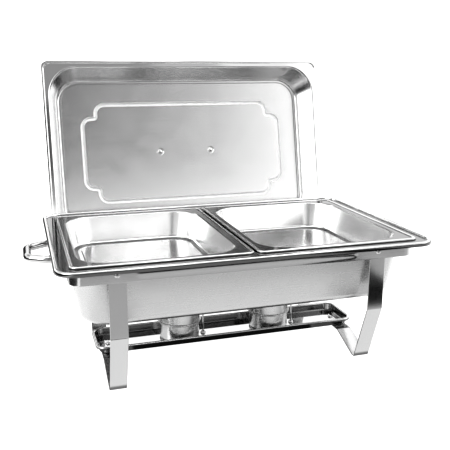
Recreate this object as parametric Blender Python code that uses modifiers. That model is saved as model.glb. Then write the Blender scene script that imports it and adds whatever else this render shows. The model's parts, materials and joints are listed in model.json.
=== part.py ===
"""Folding chafing dish with two half-size food pans, a standing lid and two burners.

Metres, +Z up. X runs along the long side, +Y points to the back, where the lid
stands. The origin lies on the table under the middle of the whole object.
"""
from math import cos, pi, radians, sin, tan

import bmesh
import bpy
from mathutils import Matrix, Vector

# Gap left between separate pieces that touch or rest on each other
GAP = 0.0003

# Frame band, the rectangular ring that everything hangs from
BAND_LENGTH = 0.535
BAND_WIDTH = 0.308
BAND_CORNER = 0.020
BAND_BOTTOM = 0.1790
BAND_TOP = 0.2048
BAND_THICKNESS = 0.0015

# Legs: one bent strip at each end, pivoted on two rivets
LEG_X = 0.202
LEG_STRIP = 0.026
LEG_THICKNESS = 0.002
LEG_TOP = 0.202
PIVOT_Z = 0.1906
KNEE_Z = 0.096
FOOT_Y = 0.115
FOOT_FLAT = 0.006
CROSS_HALF = 0.052
CROSS_TOP = 0.0242

# Water pan and the two half-size food pans
RIM_LENGTH = 0.574
RIM_WIDTH = 0.375
LEDGE_Z = 0.2062
WATER_FLOOR_Z = 0.1080
WATER_END_SPREAD = 0.016
PAN_METAL = 0.0010
FOOD_LENGTH = 0.2646
FOOD_WIDTH = 0.3250
FOOD_CENTRE_X = 0.1345
FOOD_RIM_Z = 0.2094
FOOD_FLOOR_Z = 0.1594
FOOD_METAL = 0.0009

# Lid, standing behind the pans and leaning back
LID_LENGTH = 0.544
LID_HEIGHT = 0.337
LID_DEPTH = 0.052
LID_METAL = 0.0008
LID_TILT = radians(12.1)
LID_EDGE_Y = 0.1775
LID_EDGE_Z = 0.1503
LID_SCREW_X = 0.0515
LID_HANDLE_REACH = 0.0876
LID_HANDLE_ROD = 0.005

# End handles
HANDLE_ROD = 0.006
HANDLE_NOSE = 0.318
HANDLE_Z = 0.1905
HANDLE_ROOT_Y = 0.046
PLATE_HALF = 0.064
PLATE_HEIGHT = 0.016
PLATE_THICKNESS = 0.002

# Hooks on the rear of the band that the lid stands in
HOOK_X = 0.150
HOOK_STRIP = 0.024
HOOK_THICKNESS = 0.002
HOOK_RIVET_SPACING = 0.012

# Fuel tray
TRAY_LENGTH = 0.448
TRAY_WIDTH = 0.088
TRAY_FLOOR_Z = 0.0255
TRAY_METAL = 0.0010
PEG_X = 0.201
PEG_RADIUS = 0.0025

# Burners
BURNER_X = 0.080
CUP_RADIUS = 0.0335
CUP_RIM_Z = 0.0557
COVER_TOP_Z = 0.0800
COVER_HOLE = 0.019
DAMPER_RADIUS = 0.022
DAMPER_THICKNESS = 0.0012
DAMPER_PIVOT_X = -0.0255
WIRE_RADIUS = 0.0013
WIRE_DROP = (0.0375, -0.014)
KNOB_RADIUS = 0.0045
KNOB_Z = 0.0310

# Fasteners, round steps and finishes as (colour, roughness)
RIVET_SHANK = 0.0024
HOLE_CLEARANCE = 0.0001
PLATE_RIVET_Y = PLATE_HALF - 0.0055
ROUND_STEPS = 20
SATIN = ((0.62, 0.62, 0.61), 0.28)
POLISHED = ((0.72, 0.72, 0.72), 0.08)

# The stand's centre line lies in front of the origin, because the lid reaches back
LID_BACK_Y = (LID_EDGE_Y + LID_HEIGHT / 2 * sin(LID_TILT)
              + LID_HANDLE_REACH * cos(LID_TILT) + LID_HANDLE_ROD)
STAND_Y = (RIM_WIDTH / 2 - LID_BACK_Y) / 2


# ---------------------------------------------------------------- scene set-up

def clear_scene():
    for obj in list(bpy.data.objects):
        bpy.data.objects.remove(obj, do_unlink=True)


def new_collection(name):
    collection = bpy.data.collections.new(name)
    bpy.context.scene.collection.children.link(collection)
    return collection


def steel(name, colour, roughness):
    material = bpy.data.materials.new(name)
    material.use_nodes = True
    shader = material.node_tree.nodes["Principled BSDF"]
    shader.inputs["Base Color"].default_value = (*colour, 1.0)
    shader.inputs["Roughness"].default_value = roughness
    shader.inputs["Metallic"].default_value = 1.0
    return material


def empty(name, location, parent=None, rotation=(0.0, 0.0, 0.0)):
    marker = bpy.data.objects.new(name, None)
    marker.location = location
    marker.rotation_euler = rotation
    marker.parent = parent
    parts.objects.link(marker)
    return marker


def add_object(name, data, finish, parent, location=(0, 0, 0), rotation=(0, 0, 0)):
    obj = bpy.data.objects.new(name, data)
    obj.location = location
    obj.rotation_euler = rotation
    obj.parent = parent
    data.materials.append(steel(name, *finish))
    parts.objects.link(obj)
    return obj


def smooth(obj, angle=radians(40)):
    obj.data.shade_smooth()
    obj.data.set_sharp_from_angle(angle=angle)


# ------------------------------------------------------------- shape functions

def rounded_path(points, radii, steps=5):
    """A polyline whose inner corners are rounded by arcs of the given radii."""
    points = [Vector(point) for point in points]
    path = [points[0]]
    for before, corner, after, radius in zip(points, points[1:-1], points[2:], radii):
        inward = (before - corner).normalized()
        outward = (after - corner).normalized()
        half_angle = inward.angle(outward) / 2
        centre = corner + (inward + outward).normalized() * radius / sin(half_angle)
        start = corner + inward * radius / tan(half_angle) - centre
        sideways = -inward * radius
        sweep = pi - 2 * half_angle
        for step in range(steps + 1):
            angle = sweep * step / steps
            path.append(centre + start * cos(angle) + sideways * sin(angle))
    path.append(points[-1])
    return path


def corner_arc(centre_x, centre_y, radius, first_angle, steps):
    """A quarter circle, counter-clockwise from first_angle."""
    for step in range(steps + 1):
        angle = first_angle + pi / 2 * step / steps
        yield centre_x + radius * cos(angle), centre_y + radius * sin(angle)


def rounded_rectangle(length, width, radius, steps=5):
    """Points of a rounded rectangle, counter-clockwise seen from above."""
    x, y = length / 2 - radius, width / 2 - radius
    outline = []
    for sign_x, sign_y, angle in ((1, 1, 0), (-1, 1, pi / 2), (-1, -1, pi), (1, -1, 3 * pi / 2)):
        outline += corner_arc(sign_x * x, sign_y * y, radius, angle, steps)
    return outline


def pressed_shell(name, length, width, rows, metal, finish, parent, location=(0, 0, 0),
                  end_spread=0.0):
    """A pan pressed from sheet. Each row is (inset from the edge, height, corner radius).

    Rows inside the flat flange are spread by end_spread towards both ends, which makes
    the flange narrower at the ends than along the sides.
    """
    mesh = bpy.data.meshes.new(name)
    shell = bmesh.new()
    loops = []
    for inset, height, radius in rows:
        spread = end_spread if inset > 2 * end_spread else 0.0
        outline = rounded_rectangle(length - 2 * (inset - spread), width - 2 * inset, radius)
        loops.append([shell.verts.new((x, y, height)) for x, y in outline])
    for outer, inner in zip(loops, loops[1:]):
        for index, vertex in enumerate(outer):
            following = (index + 1) % len(outer)
            shell.faces.new((vertex, outer[following], inner[following], inner[index]))
    shell.faces.new(loops[-1])
    shell.to_mesh(mesh)
    shell.free()
    obj = add_object(name, mesh, finish, parent, location)
    thicken(obj, metal, offset=-1)
    smooth(obj)
    return obj


def thicken(obj, thickness, offset):
    solidify = obj.modifiers.new("sheet", "SOLIDIFY")
    solidify.thickness = thickness
    solidify.offset = offset
    solidify.use_even_offset = True


def bent_strip(name, path, width, thickness, finish, parent, location=(0, 0, 0)):
    """A flat strip of the given width in X that follows a path in the Y-Z plane."""
    mesh = bpy.data.meshes.new(name)
    sheet = bmesh.new()
    edges = [[sheet.verts.new((side * width / 2, point[0], point[1])) for point in path]
             for side in (-1, 1)]
    for index in range(len(path) - 1):
        sheet.faces.new((edges[0][index], edges[1][index],
                         edges[1][index + 1], edges[0][index + 1]))
    sheet.to_mesh(mesh)
    sheet.free()
    obj = add_object(name, mesh, finish, parent, location)
    thicken(obj, thickness, offset=0)
    return obj


def turned(name, profile, finish, parent, location=(0, 0, 0), rotation=(0, 0, 0),
           steps=ROUND_STEPS):
    """A turned piece. The profile is (radius, height) down the outer side."""
    ring = profile[0][0] > 0 and profile[-1][0] > 0
    count = len(profile)
    edges = [(index, (index + 1) % count) for index in range(count if ring else count - 1)]
    mesh = bpy.data.meshes.new(name)
    mesh.from_pydata([(radius, 0, height) for radius, height in profile], edges, [])
    obj = add_object(name, mesh, finish, parent, location, rotation)
    screw = obj.modifiers.new("turn", "SCREW")
    screw.steps = steps
    screw.render_steps = steps
    screw.use_merge_vertices = True
    screw.merge_threshold = 0.00001
    return obj


def rod(name, points, radius, finish, parent, location=(0, 0, 0), resolution=3):
    """A round bar along a polyline, with flat ends."""
    curve = bpy.data.curves.new(name, "CURVE")
    curve.dimensions = "3D"
    curve.bevel_depth = radius
    curve.bevel_resolution = resolution
    curve.use_fill_caps = True
    spline = curve.splines.new("POLY")
    spline.points.add(len(points) - 1)
    for knot, point in zip(spline.points, points):
        knot.co = (*point, 1.0)
    return add_object(name, curve, finish, parent, location)


def as_mesh(obj):
    """The same piece as a mesh with its end caps joined on, ready to be cut."""
    bpy.context.view_layer.update()
    evaluated = obj.evaluated_get(bpy.context.evaluated_depsgraph_get())
    mesh = bpy.data.meshes.new_from_object(evaluated)
    joined = bmesh.new()
    joined.from_mesh(mesh)
    bmesh.ops.remove_doubles(joined, verts=joined.verts, dist=0.000001)
    joined.to_mesh(mesh)
    joined.free()
    name, parent, location = obj.name, obj.parent, obj.location.copy()
    bpy.data.objects.remove(obj, do_unlink=True)
    solid = bpy.data.objects.new(name, mesh)
    solid.location = location
    solid.parent = parent
    parts.objects.link(solid)
    return solid


def drill(obj, radius, length, location, axis="Z", stretch=0.0):
    """Cuts a round hole, or a slot when the hole is stretched along X."""
    mesh = bpy.data.meshes.new(f"{obj.name}_cutter")
    solid = bmesh.new()
    bmesh.ops.create_cone(solid, cap_ends=True, segments=12, radius1=radius,
                          radius2=radius, depth=length)
    for vertex in solid.verts:
        if vertex.co.x > 0.00001:
            vertex.co.x += stretch / 2
        elif vertex.co.x < -0.00001:
            vertex.co.x -= stretch / 2
    turn = {"X": Matrix.Rotation(pi / 2, 4, "Y"), "Y": Matrix.Rotation(pi / 2, 4, "X"),
            "Z": Matrix.Identity(4)}[axis]
    solid.transform(turn)
    solid.to_mesh(mesh)
    solid.free()
    cutter = bpy.data.objects.new(mesh.name, mesh)
    cutter.location = location
    cutter.parent = obj.parent
    cutter.hide_render = True
    cutter.display_type = "WIRE"
    cutters.objects.link(cutter)
    cut = obj.modifiers.new("hole", "BOOLEAN")
    cut.operation = "DIFFERENCE"
    cut.solver = "EXACT"
    cut.object = cutter


def rivet(name, grip, head, parent, location, rotation, shank=RIVET_SHANK, flush=False):
    """A rivet through a grip of that length, its dome at the top.

    Its tail is a flat head below, or it ends inside the hole where it has to be flush.
    """
    low = -grip / 2
    top = grip / 2
    profile = [(0, top + head * 0.50), (head * 0.60, top + head * 0.40), (head, top + GAP),
               (shank, top + GAP)]
    if flush:
        profile += [(shank, low + GAP), (0, low + GAP)]
    else:
        profile += [(shank, low - GAP), (head * 0.8, low - GAP),
                    (head * 0.8, low - head * 0.24), (0, low - head * 0.24)]
    obj = turned(name, profile, POLISHED, parent, location, rotation, steps=12)
    smooth(obj)
    return obj


# ---------------------------------------------------------------------- stand

def make_band(stand):
    outline = rounded_rectangle(BAND_LENGTH, BAND_WIDTH, BAND_CORNER)
    mesh = bpy.data.meshes.new("frame_band")
    band = bmesh.new()
    rings = [[band.verts.new((x, y, height)) for x, y in outline]
             for height in (BAND_BOTTOM, BAND_TOP)]
    for index in range(len(outline)):
        following = (index + 1) % len(outline)
        band.faces.new((rings[0][index], rings[0][following],
                        rings[1][following], rings[1][index]))
    band.to_mesh(mesh)
    band.free()
    obj = add_object("frame_band", mesh, SATIN, stand)
    thicken(obj, BAND_THICKNESS, offset=-1)
    hole = RIVET_SHANK + HOLE_CLEARANCE
    for x in (-LEG_X, LEG_X):
        for y in (-BAND_WIDTH / 2, BAND_WIDTH / 2):
            drill(obj, hole, 0.02, (x, y, PIVOT_Z), axis="Y")
    for x in (-BAND_LENGTH / 2, BAND_LENGTH / 2):
        for y in (-PLATE_RIVET_Y, PLATE_RIVET_Y):
            drill(obj, hole, 0.02, (x, y, HANDLE_Z), axis="X")
    for centre in (-HOOK_X, HOOK_X):
        for offset in (-HOOK_RIVET_SPACING / 2, HOOK_RIVET_SPACING / 2):
            drill(obj, hole, 0.02, (centre + offset, BAND_WIDTH / 2, PIVOT_Z), axis="Y")


def leg_path():
    """Half of a leg in (y, z): down the front, in to the foot and up to the crosspiece."""
    plane = -(BAND_WIDTH / 2 - BAND_THICKNESS - GAP - LEG_THICKNESS / 2)
    sole = LEG_THICKNESS / 2
    cross = CROSS_TOP - LEG_THICKNESS / 2
    front = [(plane, LEG_TOP), (plane, KNEE_Z), (-FOOT_Y, sole),
             (-FOOT_Y + FOOT_FLAT, sole), (-CROSS_HALF, cross)]
    back = [(-y, z) for y, z in reversed(front)]
    radii = (0.004, 0.0020, 0.0020, 0.008)
    return rounded_path(front + back, radii + radii[::-1], steps=4)


def make_leg(stand, side, sign):
    hinge = empty(f"leg_{side}_pivot", (sign * LEG_X, 0, PIVOT_Z), stand)
    path = [(point.x, point.y - PIVOT_Z) for point in leg_path()]
    obj = bent_strip(f"leg_{side}", path, LEG_STRIP, LEG_THICKNESS, SATIN, hinge)
    for y in (-BAND_WIDTH / 2, BAND_WIDTH / 2):
        drill(obj, RIVET_SHANK + HOLE_CLEARANCE, 0.02, (0, y, 0), axis="Y")
    slot = 0.0055
    drill(obj, PEG_RADIUS + GAP, 0.01,
          (sign * (PEG_X - LEG_X + slot / 2), 0, CROSS_TOP - PIVOT_Z), stretch=slot)
    smooth(obj, radians(30))
    grip = BAND_THICKNESS + GAP + LEG_THICKNESS
    for end, facing in (("front", -1), ("rear", 1)):
        rivet(f"leg_rivet_{side}_{end}", grip, 0.0042, stand,
              (sign * LEG_X, facing * (BAND_WIDTH / 2 - grip / 2), PIVOT_Z),
              (-facing * pi / 2, 0, 0))


def make_end_handle(stand, side, sign):
    end_x = BAND_LENGTH / 2 + GAP
    plate = bpy.data.meshes.new(f"end_handle_plate_{side}")
    block = bmesh.new()
    bmesh.ops.create_cube(block, size=1)
    bmesh.ops.scale(block, verts=block.verts,
                    vec=(PLATE_THICKNESS, 2 * PLATE_HALF, PLATE_HEIGHT))
    block.to_mesh(plate)
    block.free()
    obj = add_object(plate.name, plate, POLISHED, stand,
                     (sign * (end_x + PLATE_THICKNESS / 2), 0, HANDLE_Z))
    edges = obj.modifiers.new("edges", "BEVEL")
    edges.width = 0.0006
    edges.segments = 2
    for y in (-PLATE_RIVET_Y, PLATE_RIVET_Y):
        drill(obj, RIVET_SHANK + HOLE_CLEARANCE, 0.02,
              (sign * end_x, y, HANDLE_Z), axis="X")
    root_x = end_x + PLATE_THICKNESS + GAP
    shoulder_x, nose_y = 0.292, 0.028
    bow = [(root_x, -HANDLE_ROOT_Y), (shoulder_x, -HANDLE_ROOT_Y), (HANDLE_NOSE, -nose_y),
           (HANDLE_NOSE, nose_y), (shoulder_x, HANDLE_ROOT_Y), (root_x, HANDLE_ROOT_Y)]
    route = rounded_path(bow, (0.020, 0.018, 0.018, 0.020))
    loop = rod(f"end_handle_{side}", [(sign * point.x, point.y, 0) for point in route],
               HANDLE_ROD, POLISHED, stand, (0, 0, HANDLE_Z))
    loop.data.bevel_resolution = 4
    grip = BAND_THICKNESS + GAP + PLATE_THICKNESS
    for end, y in (("front", -PLATE_RIVET_Y), ("rear", PLATE_RIVET_Y)):
        rivet(f"end_handle_rivet_{side}_{end}", grip, 0.0036, stand,
              (sign * (end_x + PLATE_THICKNESS - grip / 2), y, HANDLE_Z),
              (0, sign * pi / 2, 0))


def lid_point(depth, rise):
    """A point of the lid's cross-section, in (y, z): depth behind its rim plane, rise up it."""
    return (LID_EDGE_Y + rise * sin(LID_TILT) + depth * cos(LID_TILT),
            LID_EDGE_Z + rise * cos(LID_TILT) - depth * sin(LID_TILT))


def make_lid_hook(stand, side, sign):
    """A strip riveted to the band's rear that ends in a slot around the lid's edge."""
    face = BAND_WIDTH / 2 + GAP + HOOK_THICKNESS / 2
    front, rear = -0.0030, 0.0078
    corners = [(face, 0.1995), (face, 0.1820), lid_point(front, 0.018),
               lid_point(front, -0.0045), lid_point(rear, -0.0045), lid_point(rear, 0.0105)]
    path = rounded_path(corners, (0.006, 0.006, 0.0042, 0.0042), steps=4)
    obj = bent_strip(f"lid_hook_{side}", [(point.x, point.y) for point in path], HOOK_STRIP,
                     HOOK_THICKNESS, SATIN, stand, (sign * HOOK_X, 0, 0))
    grip = BAND_THICKNESS + GAP + HOOK_THICKNESS
    for end, offset in (("inner", -sign), ("outer", sign)):
        x = sign * HOOK_X + offset * HOOK_RIVET_SPACING / 2
        drill(obj, RIVET_SHANK + HOLE_CLEARANCE, 0.02, (x, face, PIVOT_Z), axis="Y")
        rivet(f"lid_hook_rivet_{side}_{end}", grip, 0.0036, stand,
              (x, BAND_WIDTH / 2 - BAND_THICKNESS + grip / 2, PIVOT_Z), (-pi / 2, 0, 0),
              flush=True)
    smooth(obj, radians(30))


# ----------------------------------------------------------------------- pans

def make_water_pan(stand):
    crown = LEDGE_Z + 0.0030
    rows = [(0.0000, LEDGE_Z - 0.0036, 0.031), (0.0000, LEDGE_Z + 0.0012, 0.031),
            (0.0009, crown - 0.0007, 0.0302), (0.0028, crown, 0.0285),
            (0.0048, crown - 0.0007, 0.0270), (0.0066, LEDGE_Z, 0.0255),
            (0.0372, LEDGE_Z, 0.0480), (0.0394, LEDGE_Z - 0.0010, 0.0480),
            (0.0403, LEDGE_Z - 0.0034, 0.0480), (0.0540, WATER_FLOOR_Z + 0.0105, 0.0440),
            (0.0570, WATER_FLOOR_Z + 0.0040, 0.0430), (0.0630, WATER_FLOOR_Z + 0.0008, 0.0400),
            (0.0710, WATER_FLOOR_Z, 0.0350)]
    pressed_shell("water_pan", RIM_LENGTH, RIM_WIDTH, rows, PAN_METAL, SATIN, stand,
                  end_spread=WATER_END_SPREAD)


def make_food_pan(stand, side, sign):
    flange = FOOD_RIM_Z - 0.0012
    rows = [(0.0000, FOOD_RIM_Z - 0.0028, 0.0120), (0.0000, FOOD_RIM_Z - 0.0014, 0.0120),
            (0.0008, FOOD_RIM_Z - 0.0004, 0.0115), (0.0022, FOOD_RIM_Z, 0.0105),
            (0.0040, FOOD_RIM_Z - 0.0004, 0.0095), (0.0056, flange, 0.0090),
            (0.0132, flange, 0.0490), (0.0156, flange - 0.0010, 0.0475),
            (0.0166, flange - 0.0032, 0.0465), (0.0242, FOOD_FLOOR_Z + 0.0095, 0.0410),
            (0.0272, FOOD_FLOOR_Z + 0.0036, 0.0390), (0.0332, FOOD_FLOOR_Z + 0.0007, 0.0360),
            (0.0412, FOOD_FLOOR_Z, 0.0310)]
    pressed_shell(f"food_pan_{side}", FOOD_LENGTH, FOOD_WIDTH, rows, FOOD_METAL, SATIN,
                  stand, (sign * FOOD_CENTRE_X, 0, 0))


# ------------------------------------------------------------------------ lid

def make_lid(lid_frame):
    """The lid in its own frame: rim plane at z = 0, hollow below it, lower edge at y = 0."""
    middle = (0, LID_HEIGHT / 2, 0)
    rows = [(0.0000, -0.0040, 0.0130), (0.0000, -0.0012, 0.0130), (0.0008, -0.0003, 0.0125),
            (0.0024, 0.0000, 0.0118), (0.0042, -0.0004, 0.0115), (0.0058, -0.0012, 0.0120),
            (0.0110, -0.0012, 0.0520), (0.0132, -0.0022, 0.0520), (0.0145, -0.0050, 0.0520),
            (0.0270, -(LID_DEPTH - 0.0065), 0.0430), (0.0292, -(LID_DEPTH - 0.0020), 0.0415),
            (0.0345, -LID_DEPTH, 0.0370)]
    obj = pressed_shell("lid", LID_LENGTH, LID_HEIGHT, rows, LID_METAL, SATIN, lid_frame, middle)
    for x in (-LID_SCREW_X, LID_SCREW_X):
        drill(obj, RIVET_SHANK + GAP, 0.02, (x, LID_HEIGHT / 2, -LID_DEPTH))


def make_lid_handle(lid_frame):
    outside = -(LID_DEPTH + LID_METAL)
    washer_top = outside - GAP
    washer_end = washer_top - 0.002
    foot = washer_end - GAP
    bridge = [(-LID_SCREW_X, foot), (-LID_SCREW_X, -LID_HANDLE_REACH),
              (LID_SCREW_X, -LID_HANDLE_REACH), (LID_SCREW_X, foot)]
    route = rounded_path(bridge, (0.016, 0.016), steps=6)
    bar = rod("lid_handle", [(point.x, LID_HEIGHT / 2, point.y) for point in route],
              LID_HANDLE_ROD, POLISHED, lid_frame, resolution=4)
    bar = as_mesh(bar)
    smooth(bar)
    for side, x in (("left", -LID_SCREW_X), ("right", LID_SCREW_X)):
        blind_hole = 0.012
        drill(bar, RIVET_SHANK + GAP, 2 * blind_hole, (x, LID_HEIGHT / 2, foot))
        washer = turned(f"lid_handle_washer_{side}",
                        [(0.0030, washer_top), (0.0105, washer_top),
                         (0.0112, washer_top - 0.0012), (0.0085, washer_end),
                         (0.0030, washer_end)],
                        POLISHED, lid_frame, (x, LID_HEIGHT / 2, 0))
        smooth(washer)
        head = -LID_DEPTH + GAP
        screw = turned(f"lid_handle_screw_{side}",
                       [(0, head + 0.0022), (0.0022, head + 0.0020), (0.0039, head + 0.0010),
                        (0.0044, head), (RIVET_SHANK, head),
                        (RIVET_SHANK, foot - blind_hole + 0.002), (0, foot - blind_hole + 0.002)],
                       POLISHED, lid_frame, (x, LID_HEIGHT / 2, 0), steps=12)
        smooth(screw)


# ----------------------------------------------------------- fuel tray, burners

def make_tray(stand):
    floor = TRAY_FLOOR_Z
    rows = [(0.0000, floor + 0.0080, 0.018), (0.0000, floor + 0.0105, 0.018),
            (0.0008, floor + 0.0117, 0.0175), (0.0022, floor + 0.0123, 0.0165),
            (0.0036, floor + 0.0117, 0.0155), (0.0046, floor + 0.0101, 0.0150),
            (0.0064, floor + 0.0026, 0.0145), (0.0078, floor + 0.0006, 0.0135),
            (0.0096, floor, 0.0120)]
    tray = pressed_shell("fuel_tray", TRAY_LENGTH, TRAY_WIDTH, rows, TRAY_METAL, POLISHED, stand)
    for side, x in (("left", -PEG_X), ("right", PEG_X)):
        drill(tray, PEG_RADIUS + HOLE_CLEARANCE, 0.01, (x, 0, floor))
        head = floor + GAP
        tail = floor - TRAY_METAL - GAP - 0.0026
        peg = turned(f"tray_peg_{side}",
                     [(0, head + 0.0024), (0.0022, head + 0.0021), (0.0038, head + 0.0010),
                      (0.0042, head), (PEG_RADIUS, head), (PEG_RADIUS, tail + 0.0006),
                      (PEG_RADIUS - 0.0006, tail), (0, tail)],
                     POLISHED, stand, (x, 0, 0), steps=12)
        smooth(peg)


def make_burner(stand, side, sign):
    axis = empty(f"burner_{side}_axis", (sign * BURNER_X, 0, 0), stand)
    make_cup(axis, side)
    make_cover(axis, side)
    make_damper(axis, side)


def make_cup(axis, side):
    base = TRAY_FLOOR_Z + GAP
    inner = CUP_RADIUS - 0.001
    rim = CUP_RADIUS + 0.003
    profile = [(rim, CUP_RIM_Z), (rim, CUP_RIM_Z - 0.0016), (CUP_RADIUS, CUP_RIM_Z - 0.0024),
               (CUP_RADIUS, base + 0.0035), (CUP_RADIUS - 0.001, base + 0.0010),
               (CUP_RADIUS - 0.0035, base), (0, base), (0, base + 0.001),
               (inner - 0.003, base + 0.001), (inner, base + 0.004), (inner, CUP_RIM_Z)]
    # The profile meets the axis twice, so the bottom is closed and the mouth stays open
    obj = turned(f"burner_cup_{side}", profile, POLISHED, axis)
    smooth(obj)


def make_cover(axis, side):
    outer = CUP_RADIUS + 0.0005
    seat = CUP_RIM_Z + GAP
    skirt = CUP_RADIUS - 0.0015
    top = COVER_TOP_Z
    profile = [(COVER_HOLE, top), (outer - 0.0035, top), (outer - 0.0008, top - 0.0012),
               (outer, top - 0.0040), (outer, seat), (skirt, seat), (skirt, seat - 0.006),
               (skirt - 0.001, seat - 0.006), (skirt - 0.001, seat + 0.001),
               (outer - 0.001, seat + 0.001), (outer - 0.001, top - 0.0040),
               (outer - 0.0037, top - 0.001), (COVER_HOLE, top - 0.001)]
    obj = turned(f"burner_cover_{side}", profile, POLISHED, axis)
    smooth(obj)
    drill(obj, 0.0018, 0.01, (DAMPER_PIVOT_X, 0, top))
    grip = 0.001 + GAP + DAMPER_THICKNESS
    rivet(f"damper_rivet_{side}", grip, 0.0030, axis,
          (DAMPER_PIVOT_X, 0, top - 0.001 + grip / 2), (0, 0, 0), shank=0.0017)


def make_damper(axis, side):
    pivot = empty(f"damper_{side}_pivot", (DAMPER_PIVOT_X, 0, COVER_TOP_Z + GAP), axis)
    disc = as_mesh(damper_disc(pivot, side))
    drill(disc, 0.0018, 0.01, (0, 0, 0))
    wire_z = DAMPER_THICKNESS + GAP + WIRE_RADIUS
    drop = (WIRE_DROP[0] - DAMPER_PIVOT_X, WIRE_DROP[1])
    knob_z = KNOB_Z - COVER_TOP_Z - GAP
    route = rounded_path([(0.030, -0.002, wire_z), (*drop, wire_z), (*drop, knob_z)], (0.005,))
    rod(f"damper_wire_{side}", route, WIRE_RADIUS, POLISHED, pivot, resolution=2)
    knob = knob_ball(pivot, side, (*drop, knob_z))
    drill(knob, WIRE_RADIUS + GAP, 2 * KNOB_RADIUS, (drop[0], drop[1], knob_z + KNOB_RADIUS - GAP))


def damper_disc(pivot, side):
    """A flat disc with a narrow ear around its pivot."""
    reach = -DAMPER_PIVOT_X
    ear = 0.0045
    lean = (DAMPER_RADIUS - ear) / reach
    curve = bpy.data.curves.new(f"damper_disc_{side}", "CURVE")
    curve.dimensions = "2D"
    curve.fill_mode = "BOTH"
    curve.extrude = DAMPER_THICKNESS / 2
    steps = 14
    disc_turn = pi / 2 + lean
    ear_turn = pi - disc_turn
    outline = [(reach + DAMPER_RADIUS * cos(angle), DAMPER_RADIUS * sin(angle))
               for angle in (disc_turn * (2 * step / steps - 1) for step in range(steps + 1))]
    outline += [(ear * cos(angle), ear * sin(angle))
                for angle in (disc_turn + 2 * ear_turn * step / 6 for step in range(7))]
    spline = curve.splines.new("POLY")
    spline.points.add(len(outline) - 1)
    for knot, point in zip(spline.points, outline):
        knot.co = (*point, 0, 1)
    spline.use_cyclic_u = True
    return add_object(curve.name, curve, POLISHED, pivot, (0, 0, DAMPER_THICKNESS / 2))


def knob_ball(pivot, side, location):
    mesh = bpy.data.meshes.new(f"damper_knob_{side}")
    ball = bmesh.new()
    bmesh.ops.create_uvsphere(ball, u_segments=16, v_segments=10, radius=KNOB_RADIUS)
    ball.to_mesh(mesh)
    ball.free()
    obj = add_object(mesh.name, mesh, POLISHED, pivot, location)
    smooth(obj)
    return obj


# ---------------------------------------------------------------------- build

clear_scene()
parts = new_collection("chafing_dish")
cutters = new_collection("cutters")


def build():
    stand = empty("stand_centre", (0, STAND_Y, 0))
    make_band(stand)
    lid_frame = empty("lid_frame", (0, LID_EDGE_Y, LID_EDGE_Z), stand,
                      (pi / 2 - LID_TILT, 0, 0))
    for side, sign in (("left", -1), ("right", 1)):
        make_leg(stand, side, sign)
        make_end_handle(stand, side, sign)
        make_lid_hook(stand, side, sign)
        make_food_pan(stand, side, sign)
        make_burner(stand, side, sign)
    make_water_pan(stand)
    make_tray(stand)
    make_lid(lid_frame)
    make_lid_handle(lid_frame)


build()
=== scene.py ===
"""Looks of the folding chafing dish: satin and mirror-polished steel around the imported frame.

Metres, +Z up. Every piece is built about its own centre and then seated on the CAD node that
it stands for, so its place always comes from the frame.
"""
import json
from math import atan2, cos, pi, radians, sin, tan

import bmesh
import bpy
from mathutils import Matrix, Vector


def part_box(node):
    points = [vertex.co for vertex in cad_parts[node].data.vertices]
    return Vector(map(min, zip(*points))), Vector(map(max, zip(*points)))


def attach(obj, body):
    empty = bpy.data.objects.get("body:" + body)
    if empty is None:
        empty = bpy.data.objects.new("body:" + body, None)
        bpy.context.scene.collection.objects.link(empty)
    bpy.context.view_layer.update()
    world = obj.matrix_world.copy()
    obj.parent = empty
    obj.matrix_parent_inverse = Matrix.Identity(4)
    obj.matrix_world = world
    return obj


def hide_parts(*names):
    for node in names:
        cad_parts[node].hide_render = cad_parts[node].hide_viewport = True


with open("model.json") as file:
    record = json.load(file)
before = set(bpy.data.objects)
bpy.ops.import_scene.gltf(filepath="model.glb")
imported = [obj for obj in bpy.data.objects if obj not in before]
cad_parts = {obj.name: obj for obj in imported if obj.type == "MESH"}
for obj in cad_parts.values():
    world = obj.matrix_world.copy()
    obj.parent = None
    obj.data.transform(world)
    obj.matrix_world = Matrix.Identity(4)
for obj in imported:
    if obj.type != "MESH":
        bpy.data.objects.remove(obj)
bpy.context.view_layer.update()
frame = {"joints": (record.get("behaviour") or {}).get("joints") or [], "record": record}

# Camera, solved for the photographed view
CAMERA_PLACE = (-0.3207, -1.0903, 0.4733)
CAMERA_YAW = radians(-17.3)
CAMERA_PITCH = radians(13.6)
CAMERA_LENS = 53.34

# Frame band and its pressed stiffening ribs
BAND_LENGTH, BAND_WIDTH, BAND_CORNER = 0.535, 0.308, 0.020
BAND_HEIGHT, BAND_METAL = 0.0258, 0.0015
BAND_ROWS, BAND_COLUMNS = 24, 240
FRONT_RIB, REAR_RIB = (-0.171, 0.163), (-0.128, 0.128)
RIB_Z, RIB_HALF, RIB_SLOPE, RIB_DEPTH = 0.0107, 0.0042, 0.0035, 0.0009

# Legs; each is as far from the middle as LEG_X, and the tray's pegs as far as PEG_X
STRIP_WIDTH, STRIP_METAL = 0.026, 0.002
LEG_TOP, KNEE_Z, PIVOT_Z = 0.202, 0.096, 0.1906
LEG_PLANE = 0.1512
FOOT_Y, FOOT_FLAT = 0.115, 0.006
CROSS_HALF, CROSS_Z = 0.052, 0.0232
LEG_X, PEG_X = 0.202, 0.201
PEG_SLOT, PEG_SLOT_RADIUS, PIVOT_HOLE_RADIUS = 0.0055, 0.0028, 0.0025

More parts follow.
